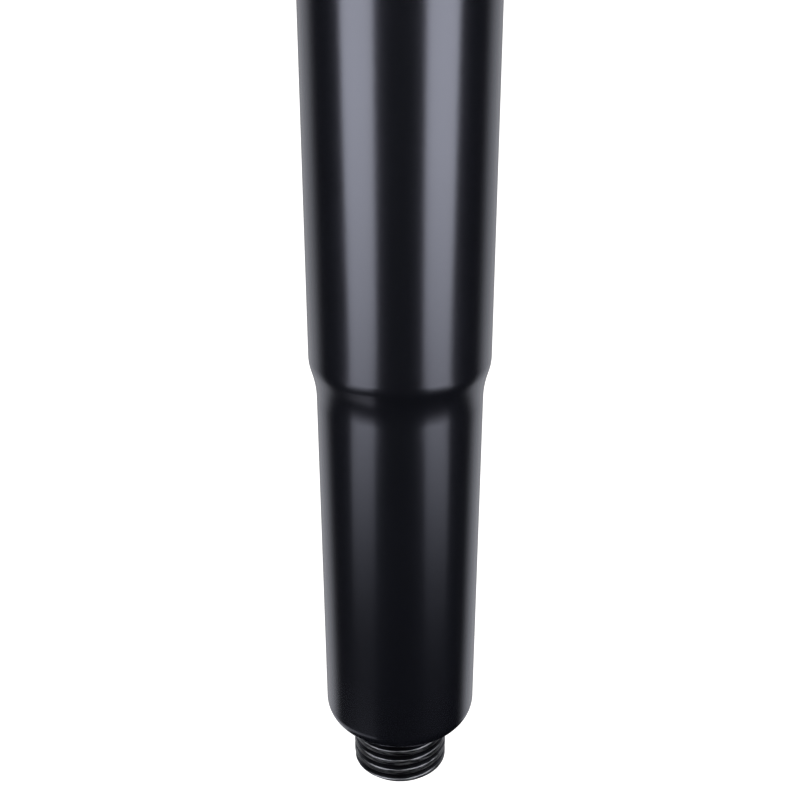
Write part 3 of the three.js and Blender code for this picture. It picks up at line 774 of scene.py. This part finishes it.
def makeCollarScrews(size=collarScrewSizes):
    socketAt = hexagonal(size["socket"])
    shank, point, head, dome = size["shank"], size["point"], size["head"], size["dome"]
    mouth, bevel = size["socketMouth"]
    for side, azimuth in (("back", quarterTurn), ("front", -quarterTurn)):
        low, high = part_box("collar_screw_" + side)
        tip, top = sorted((abs(low.y), abs(high.y)))
        level = (low.z + high.z) / 2
        rim = top - size["socketDepth"]

        def socket(angle, r, z):
            return (min(r, socketAt(angle)) if r < shank and z > rim - near else r, z)

        outline = [
            (0, tip),
            (shank - point, tip),
            (shank, tip + point),
            (shank, top - size["headHeight"]),
            (head, top - size["headHeight"]),
            *arc((head - dome, top - dome), dome, 0, quarterTurn, size["domeSteps"]),
            (mouth, top),
            (size["socketRadius"], top - bevel),
            (size["socketRadius"], rim),
            (0, rim - size["socketPoint"]),
        ]
        screw = turned(outline, size["sides"], socket)
        piece = meshPiece("collarScrew" + side.capitalize(), [screw], outward(azimuth, level))
        dress(piece, "pole", "collar_screw_" + side)


clampInsertSizes = {
    "bore": 5.3 * mm,
    "radius": 8.6 * mm,
    "flange": 10.6 * mm,
    "flangeThickness": 1.5 * mm,
    "edge": 0.3 * mm,
    "sides": 96,
}


def makeClampInsert(size=clampInsertSizes):
    foot, top = (corner.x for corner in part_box("clamp_insert"))
    seat, edge = top - size["flangeThickness"], size["edge"]
    outline = rounded([
        (size["bore"], foot, edge),
        (size["radius"], foot, edge),
        (size["radius"], seat, 0),
        (size["flange"], seat, edge),
        (size["flange"], top, edge),
        (size["bore"], top, edge),
    ])
    piece = meshPiece("clampInsert", [turned(outline, size["sides"])], outward(0, lockHeight))
    dress(piece, "pole", "clamp_insert")


clampKnobSizes = {
    "hubRadius": 10 * mm,
    "hubLength": 6 * mm,
    "hubEdge": 0.8 * mm,
    "hubFillet": 1.5 * mm,
    "meanRadius": 20 * mm,
    "lobes": 5,
    "lobeRise": 3.5 * mm,
    "edge": 3 * mm,
    "dish": 0.8 * mm,
    "dishMargin": 1 * mm,  # out from the hub's radius
    "dishEdge": 0.5 * mm,
    "dishFillet": 0.8 * mm,
    "screwHole": (5.1 * mm, 14 * mm),
    "holeEdge": 0.5 * mm,
    "capSeat": (8.2 * mm, 1.6 * mm),
    "seatRim": 0.8 * mm,
    "seatEdges": (0.4 * mm, 0.3 * mm),
    "arcSteps": 8,
    "sides": 240,
}


def makeClampKnob(size=clampKnobSizes):
    foot, top = (corner.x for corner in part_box("clamp_knob"))
    head = foot + size["hubLength"]
    hub, mean, edge = size["hubRadius"], size["meanRadius"], size["edge"]
    hole, holeDepth = size["screwHole"]
    seat, seatDepth = size["capSeat"]
    rimEdge, seatEdge = size["seatEdges"]

    def lobed(angle, r, z):
        share = min(max((r - hub) / (mean - edge - hub), 0), 1)
        swell = share * share * (3 - 2 * share)
        return r + size["lobeRise"] * swell * math.cos(size["lobes"] * angle), z

    outline = rounded([
        (0, foot + holeDepth, 0),
        (hole, foot + holeDepth, 0),
        (hole, foot, size["holeEdge"]),
        (hub, foot, size["hubEdge"]),
        (hub, head, size["hubFillet"]),
        (mean, head, edge),
        (mean, top, edge),
        (mean - 2 * edge, top, size["dishEdge"]),
        (hub + size["dishMargin"], top - size["dish"], size["dishFillet"]),
        (seat + size["seatRim"], top, rimEdge),
        (seat, top, seatEdge),
        (seat, top - seatDepth, 0),
        (0, top - seatDepth, 0),
    ], size["arcSteps"])
    knob = turned(outline, size["sides"], lobed)
    piece = meshPiece("clampKnob", [knob], outward(0, lockHeight))
    dress(piece, "knob", "clamp_knob")


capSizes = {
    "edge": 0.5 * mm,
    "crown": 0.35 * mm,
    "sides": 96,
}


def makeCap(name, node, body, azimuth, size=capSizes):  # a snapped-in disc with a faint crown
    low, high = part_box(node)
    foot, top = sorted((abs(low.x), abs(high.x)))
    radius, shoulder = (high.z - low.z) / 2, top - size["crown"]
    corners = [(0, foot, 0), (radius, foot, 0), (radius, shoulder, size["edge"]), (0, top, 0)]
    cap = turned(rounded(corners), size["sides"])
    piece = meshPiece(name, [cap], outward(azimuth, lockHeight))
    dress(piece, body, node)


plungerSleeveSizes = {
    "bore": 3.2 * mm,
    "radius": 7 * mm,
    "noseEdge": 0.6 * mm,
    "hexagon": 17 * mm,
    "hexHeight": 4 * mm,
    "hexChamfer": 8.6 * mm,
    "chamferAngle": math.radians(30),
    "chamferSteps": 16,
    "camRadius": 8 * mm,
    "camInner": 4.5 * mm,
    "camFall": 7 * mm,
    "camTurn": math.radians(90),
    "camLead": math.radians(3),
    "camLift": 0.02 * mm,  # keeps the ramp's low end off its foot
    "neck": 2 * mm,
    "stemHole": 1.9 * mm,
    "springEnd": 3.1 * mm,
    "sides": 240,
    "creaseAngle": 25,
}


def makePlungerSleeve(size=plungerSleeveSizes):
    low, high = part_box("plunger_sleeve")
    nose, camTop = -high.x, -low.x
    camFoot = camTop - size["camFall"]
    hexTop = camFoot - size["neck"]
    hexFoot = hexTop - size["hexHeight"]
    hexAt = hexagonal(size["hexagon"])
    flat, steps = size["hexChamfer"], size["chamferSteps"]
    corner = size["hexagon"] / math.sqrt(3)
    drop = (corner - flat) * math.tan(size["chamferAngle"])
    chamfer = [(flat + (corner - flat) * i / steps, drop * i / steps) for i in range(steps + 1)]

    def formed(angle, r, z):
        if r > size["camRadius"] + near:
            return min(r, hexAt(angle)), z
        if z < camTop - near or r < size["camInner"] - near:
            return r, z
        along = angle % math.pi  # the cam falls twice in a turn, then jumps back
        if along <= size["camTurn"]:
            return r, camTop - size["camFall"] * along / size["camTurn"] + size["camLift"]
        back = max(0, 1 - (along - size["camTurn"]) / size["camLead"])
        return r, camTop - size["camFall"] * back

    outline = [
        (size["bore"], nose),
        (size["radius"] - size["noseEdge"], nose),
        (size["radius"], nose + size["noseEdge"]),
        (size["radius"], hexFoot),
        *[(r, hexFoot + z) for r, z in chamfer],
        *[(r, hexTop - z) for r, z in chamfer[::-1]],
        (size["camRadius"], hexTop),
        (size["camRadius"], camFoot),
        (size["camRadius"], camTop),
        (size["camInner"], camTop),
        (size["camInner"], camFoot),
        (size["stemHole"], camFoot),
        (size["stemHole"], camFoot - size["springEnd"]),
        (size["bore"], camFoot - size["springEnd"]),
    ]
    sleeve = turned(outline, size["sides"], formed)
    piece = meshPiece("plungerSleeve", [sleeve], outward(math.pi, lockHeight))
    dress(piece, "pole", "plunger_sleeve", size["creaseAngle"])


plungerGripSizes = {
    "radius": 12 * mm,
    "skirt": 10.3 * mm,
    "skirtEdge": 0.5 * mm,
    "skirtBore": 8.3 * mm,
    "boreEdge": 0.3 * mm,
    "ceiling": 9 * mm,  # above the skirt's foot
    "clipRoom": (5 * mm, 4.2 * mm),
    "stemHole": 1.9 * mm,
    "capSeat": (7.2 * mm, 1.6 * mm),
    "seatEdge": 0.3 * mm,
    "shoulder": 0.8 * mm,
    "edge": 1.2 * mm,
    "flutes": 10,
    "fluteDepth": 1.1 * mm,
    "fluteWidth": 3.8 * mm,
    "fluteShape": 1.5,  # over 1 draws the groove's sides in
    "fluteStart": 0.1 * mm,  # out from the skirt
    "arcSteps": 6,
    "sides": 240,
}


def makePlungerGrip(size=plungerGripSizes):
    low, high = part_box("plunger_grip")
    foot, top = -high.x, -low.x
    ceiling = foot + size["ceiling"]
    radius, skirt, edge = size["radius"], size["skirt"], size["edge"]
    room, roomDepth = size["clipRoom"]
    seat, seatDepth = size["capSeat"]
    plateTop = top - seatDepth - roomDepth

    def fluted(angle, r, z):
        if r < skirt + size["fluteStart"]:
            return r, z
        off = abs(math.remainder(angle, fullTurn / size["flutes"])) * radius
        hollow = max(0, math.cos(min(1, 2 * off / size["fluteWidth"]) * quarterTurn))
        groove = size["fluteDepth"] * hollow ** size["fluteShape"]
        return r - groove * min(1, (r - skirt) / (radius - edge - skirt)), z

    outline = rounded([
        (size["skirtBore"], foot, size["boreEdge"]),
        (skirt, foot, size["skirtEdge"]),
        (skirt, ceiling - edge, size["skirtEdge"]),
        (radius, ceiling, size["shoulder"]),
        (radius, top, edge),
        (seat, top, size["seatEdge"]),
        (seat, top - seatDepth, 0),
        (room, top - seatDepth, 0),
        (room, plateTop, 0),
        (size["stemHole"], plateTop, 0),
        (size["stemHole"], ceiling, 0),
        (size["skirtBore"], ceiling, 0),
    ], size["arcSteps"])
    grip = turned(outline, size["sides"], fluted)
    piece = meshPiece("plungerGrip", [grip], outward(math.pi, lockHeight))
    dress(piece, "grip", "plunger_grip")


mastSizes = {
    "wall": 1.5 * mm,
    "lockStep": 50 * mm,
    "holes": 11,
    "holeRadius": 3.4 * mm,
    "plugPin": (2.1 * mm, 15 * mm),  # radius, and height from the mast's foot
    "headPin": (2.6 * mm, 47.5 * mm),  # radius, and depth below the mast's top
    "mouthEdge": 0.3 * mm,
    "rows": 146,
    "sides": 144,
}


def makeMast(size=mastSizes):
    foot, top = (corner.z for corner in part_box("mast_tube"))
    edge, rows, bore = size["mouthEdge"], size["rows"], mastRadius - size["wall"]
    outer = [(mastRadius, foot + edge + (top - foot - 2 * edge) * i / rows)
             for i in range(rows + 1)]
    mouth = mastRadius - edge
    outline = [(bore, foot), (mouth, foot), *outer, (mouth, top), (bore, top)]
    piece = meshPiece("mastTube", [turned(outline, size["sides"])])
    through = 2 * mastRadius
    drills = []
    for i in range(size["holes"]):
        hole = bar(size["holeRadius"], -through, through)
        drills.append(placed(hole, outward(0, lockHeight - i * size["lockStep"])))
    (plugPin, plugLevel), (headPin, headLevel) = size["plugPin"], size["headPin"]
    for radius, level in ((plugPin, foot + plugLevel), (headPin, top - headLevel)):
        drills.append(placed(bar(radius, -through, through), outward(quarterTurn, level)))
    drill(piece, drills)
    dress(piece, "mast", "mast_tube")


headSleeveSizes = {
    "bore": 15.1 * mm,
    "edge": 1.2 * mm,
    "edgeSteps": 6,
    "pinHole": 2.6 * mm,
    "rows": 20,
    "sides": 192,
}


def makeHeadSleeve(size=headSleeveSizes):
    low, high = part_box("head_sleeve")
    pinLow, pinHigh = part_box("head_sleeve_pin")
    radius, edge, rows, steps = high.x, size["edge"], size["rows"], size["edgeSteps"]
    outline = [
        (size["bore"], low.z),
        *arc((radius - edge, low.z + edge), edge, -quarterTurn, 0, steps)[:-1],
        *[(radius, low.z + edge + (high.z - low.z - 2 * edge) * i / rows)
          for i in range(rows + 1)],
        *arc((radius - edge, high.z - edge), edge, 0, quarterTurn, steps)[1:],
        (size["bore"], high.z),
    ]
    piece = meshPiece("headSleeve", [turned(outline, size["sides"])])
    hole = bar(size["pinHole"], -2 * radius, 2 * radius)
    drill(piece, [placed(hole, outward(quarterTurn, (pinLow.z + pinHigh.z) / 2))])
    dress(piece, "mast", "head_sleeve")


headPinSizes = {
    "crown": 0.4 * mm,
    "edge": 0.2 * mm,
    "sides": 48,
}


def makeHeadPin(size=headPinSizes):
    low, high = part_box("head_sleeve_pin")
    radius, end, edge = (high.z - low.z) / 2, high.y, size["edge"]
    crown = end - size["crown"]
    outline = rounded([(0, -end, 0), (radius, -crown, edge), (radius, crown, edge), (0, end, 0)])
    place = outward(quarterTurn, (low.z + high.z) / 2)
    piece = meshPiece("headPin", [turned(outline, size["sides"])], place)
    dress(piece, "mast", "head_sleeve_pin")


headCapSizes = {
    "spigot": 13.4 * mm,
    "spigotEdge": 0.5 * mm,
    "brim": 16.3 * mm,
    "brimGap": 0.1 * mm,
    "brimRound": 3 * mm,
    "brimSteps": 14,
    "sides": 144,
}


def makeHeadCap(size=headCapSizes):
    low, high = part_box("head_cap")
    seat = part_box("head_sleeve")[1].z + size["brimGap"]
    spigot, edge = size["spigot"], size["spigotEdge"]
    brim, brimRound = size["brim"], size["brimRound"]
    curve = (brim - brimRound, high.z - brimRound)
    outline = [
        (0, low.z),
        (spigot - edge, low.z),
        (spigot, low.z + edge),
        (spigot, seat),
        (brim, seat),
        *arc(curve, brimRound, 0, quarterTurn, size["brimSteps"]),
        (0, high.z),
    ]
    piece = meshPiece("headCap", [turned(outline, size["sides"])])
    dress(piece, "mast", "head_cap")


makeLowerTube()
makeThreadedStud()
makeCollar()
makeCollarScrews()
makeClampInsert()
makeClampKnob()
makeCap("clampKnobCap", "clamp_knob_cap", "knob", 0)
makePlungerSleeve()
makePlungerGrip()
makeCap("plungerGripCap", "plunger_grip_cap", "grip", math.pi)
makeMast()
makeHeadSleeve()
makeHeadPin()
makeHeadCap()

studio = {  # metres, and degrees round the pole from the camera's side
    "floorDrop": 0.62,  # the pole hangs clear of the floor, as in the photograph
    "floorSize": 60,
    "paper": "#f4f4f4",
    "paperGlow": 0.75,
    "ambient": 0.6,
    "lampRadius": 0.45,
    "lampFoot": -0.275,
    "lampLevels": (-0.11, -0.10, 0.10, 1.5),  # heights where the edges are set, after the foot's
    "lampEdges": (  # inner and outer, at the foot and at each of these heights
        (35, 71.5),
        (34.5, 69.5),
        (27.9, 62.2),
        (28.7, 67.5),
        (28.7, 67.5),
    ),
    "lampColumns": 12,
    "lampFade": 0.10,  # the lamps dim below this height
    "lampStrength": 2.87,
    "washStrength": 1.0,
    "clothRadius": 0.6,
    "clothFoot": -0.6,
    "clothTop": 1.6,
    "clothSides": 120,
    "paperWall": (105, 131),  # where the dark cloth gives way to grey paper
    "paperWallGlow": 0.455,
    "paperFold": (148, 172),  # where the paper dims towards its middle
    "paperFoldDim": 0.5,
    "lowSilk": (-172, -42),  # a dim strip on the ground, which lights the hollow of the step
    "lowSilkSpan": (0.43, 0.6),
    "lowSilkLift": 0.01,
    "lowSilkColumns": 24,
    "lowSilkGlow": 0.4,
}
white = (1, 1, 1, 1)
black = (0, 0, 0, 1)


def litShare(tree):  # 1 for the camera, mirrors and glass, which see the paper as white
    path = add(tree, "LightPath")
    sight = add(tree, "Math", {
        0: path.outputs["Is Camera Ray"],
        1: path.outputs["Is Glossy Ray"],
    }, operation="ADD")
    return add(tree, "Math", {
        0: sight,
        1: path.outputs["Is Transmission Ray"],
    }, operation="ADD", use_clamp=True)


def stagePiece(name, shell, material, seenBy):
    piece = meshPiece(name, [shell])
    piece.data.materials.append(material)
    piece.data.shade_smooth()
    for ray in ("camera", "diffuse", "glossy", "transmission", "volume_scatter", "shadow"):
        setattr(piece, "visible_" + ray, ray in seenBy)


def curved(rows, columns):  # rows of (radius, height, first angle, last angle), as a curved sheet
    corners = []
    for radius, level, first, last in rows:
        for i in range(columns + 1):
            azimuth = math.radians(first + (last - first) * i / columns)
            corners.append((radius * math.sin(azimuth), -radius * math.cos(azimuth), level))
    faces = []
    for row in range(len(rows) - 1):
        start = row * (columns + 1)
        faces += [[i, i + 1, i + columns + 2, i + columns + 1]
                  for i in range(start, start + columns)]
    return corners, faces


def makeFloor(plan=studio):
    material, tree = newMaterial("whitePaper")
    paper = add(tree, "BsdfDiffuse", {"Color": linear(plan["paper"])})
    glow = add(tree, "Math", {0: litShare(tree), 1: plan["paperGlow"]}, operation="MULTIPLY")
    shine = add(tree, "Emission", {"Color": white, "Strength": glow})
    add(tree, "OutputMaterial", {"Surface": add(tree, "AddShader", {0: paper, 1: shine})})
    half = plan["floorSize"] / 2
    edges = ((-half, -half), (half, -half), (half, half), (-half, half))
    sheet = [(x, y, -plan["floorDrop"]) for x, y in edges], [[0, 1, 2, 3]]
    seenBy = ("camera", "diffuse", "glossy", "transmission", "shadow")
    stagePiece("floor", sheet, material, seenBy)


def makeLamp(name, side, strength, foot, seenBy, plan=studio):  # a tall soft box round the pole
    material, tree = newMaterial(name + "Silk")
    where = add(tree, "TexCoord").outputs["Object"]
    height = add(tree, "SeparateXYZ", {"Vector": where}).outputs["Z"]
    glow = add(tree, "MapRange", {
        "Value": height,
        "From Min": foot,
        "From Max": plan["lampFade"],
        "To Min": 0,
        "To Max": strength,
    }, interpolation_type="SMOOTHSTEP")
    light = add(tree, "Emission", {"Color": white, "Strength": glow})
    add(tree, "OutputMaterial", {"Surface": light})
    rows = [(plan["lampRadius"], level, side * inner, side * outer)
            for level, (inner, outer) in zip((foot, *plan["lampLevels"]), plan["lampEdges"])]
    stagePiece(name, curved(rows, plan["lampColumns"]), material, seenBy)


def makeWall(plan=studio):  # dark cloth in front and beside, grey paper behind, seen in the gloss
    material, tree = newMaterial("studioCloth")
    where = add(tree, "TexCoord").outputs["Object"]
    axes = add(tree, "SeparateXYZ", {"Vector": where}).outputs
    towards = add(tree, "Math", {0: axes["Y"], 1: -1}, operation="MULTIPLY")
    azimuth = add(tree, "Math", {0: axes["X"], 1: towards}, operation="ARCTAN2")
    turn = add(tree, "Math", {0: azimuth}, operation="ABSOLUTE")
    paperStart, paperEnd = (math.radians(a) for a in plan["paperWall"])
    rise = add(tree, "MapRange", {
        "Value": turn,
        "From Min": paperStart,
        "From Max": paperEnd,
        "To Min": 0,
        "To Max": plan["paperWallGlow"],
    }, interpolation_type="SMOOTHSTEP")
    foldStart, foldEnd = (math.radians(a) for a in plan["paperFold"])
    fold = add(tree, "MapRange", {
        "Value": turn,
        "From Min": foldStart,
        "From Max": foldEnd,
        "To Min": 1,
        "To Max": plan["paperFoldDim"],
    }, interpolation_type="SMOOTHSTEP")
    strength = add(tree, "Math", {0: rise, 1: fold}, operation="MULTIPLY")
    light = add(tree, "Emission", {"Color": white, "Strength": strength})
    add(tree, "OutputMaterial", {"Surface": light})
    ends = [(plan["clothRadius"], plan["clothFoot"]), (plan["clothRadius"], plan["clothTop"])]
    corners, faces = turned(ends, plan["clothSides"])
    once = faces[:len(faces) // 2]  # turned closes the sheet into a double one
    stagePiece("clothWall", (corners, once), material, ("glossy",))


def makeGround(plan=studio):  # black cloth under the pole, and the strip of silk on it
    cloth, tree = newMaterial("blackCloth")
    add(tree, "OutputMaterial", {"Surface": add(tree, "BsdfDiffuse", {"Color": black})})
    foot = plan["clothFoot"]
    disc = turned([(0, foot), (plan["clothRadius"], foot)], plan["clothSides"])
    stagePiece("clothGround", disc, cloth, ("glossy",))
    silk, tree = newMaterial("lowSilk")
    light = add(tree, "Emission", {"Color": white, "Strength": plan["lowSilkGlow"]})
    add(tree, "OutputMaterial", {"Surface": light})
    rows = [(radius, foot + plan["lowSilkLift"], *plan["lowSilk"])
            for radius in plan["lowSilkSpan"]]
    stagePiece("lowSilk", curved(rows, plan["lowSilkColumns"]), silk, ("glossy",))


def makeWorld(plan=studio):
    world = bpy.data.worlds.new("studioAir")
    world.use_nodes = True
    tree = world.node_tree
    tree.nodes.clear()
    strength = add(tree, "MapRange", {
        "Value": litShare(tree),
        "To Min": plan["ambient"],
        "To Max": 1,
    })
    air = add(tree, "Background", {"Color": white, "Strength": strength})
    add(tree, "OutputWorld", {"Surface": air})
    bpy.context.scene.world = world


photoView = {
    "aim": 86.4 * mm,  # height that the camera looks at
    "distance": 231.7 * mm,
    "elevation": math.radians(24),
    "lens": 53.7,
    "sensor": 36,
    "clip": (10 * mm, 200),
}


def makeCamera(plan=photoView):
    camera = bpy.data.objects.new("photoCamera", bpy.data.cameras.new("photoCamera"))
    bpy.context.scene.collection.objects.link(camera)
    camera.data.lens = plan["lens"]
    camera.data.sensor_width = plan["sensor"]
    camera.data.clip_start, camera.data.clip_end = plan["clip"]
    back, up = math.cos(plan["elevation"]), math.sin(plan["elevation"])
    camera.location = (0, -plan["distance"] * back, plan["aim"] + plan["distance"] * up)
    camera.rotation_euler = (quarterTurn - plan["elevation"], 0, 0)
    bpy.context.scene.camera = camera


makeFloor()
for name, side in (("left", -1), ("right", 1)):
    makeLamp(name + "Lamp", side, studio["lampStrength"], studio["lampFoot"], ("glossy",))
    makeLamp(name + "Wash", side, studio["washStrength"], studio["clothFoot"], ("diffuse",))
makeWall()
makeGround()
makeWorld()
makeCamera()
bpy.context.scene.view_settings.view_transform = "Standard"
print("studio and camera set")
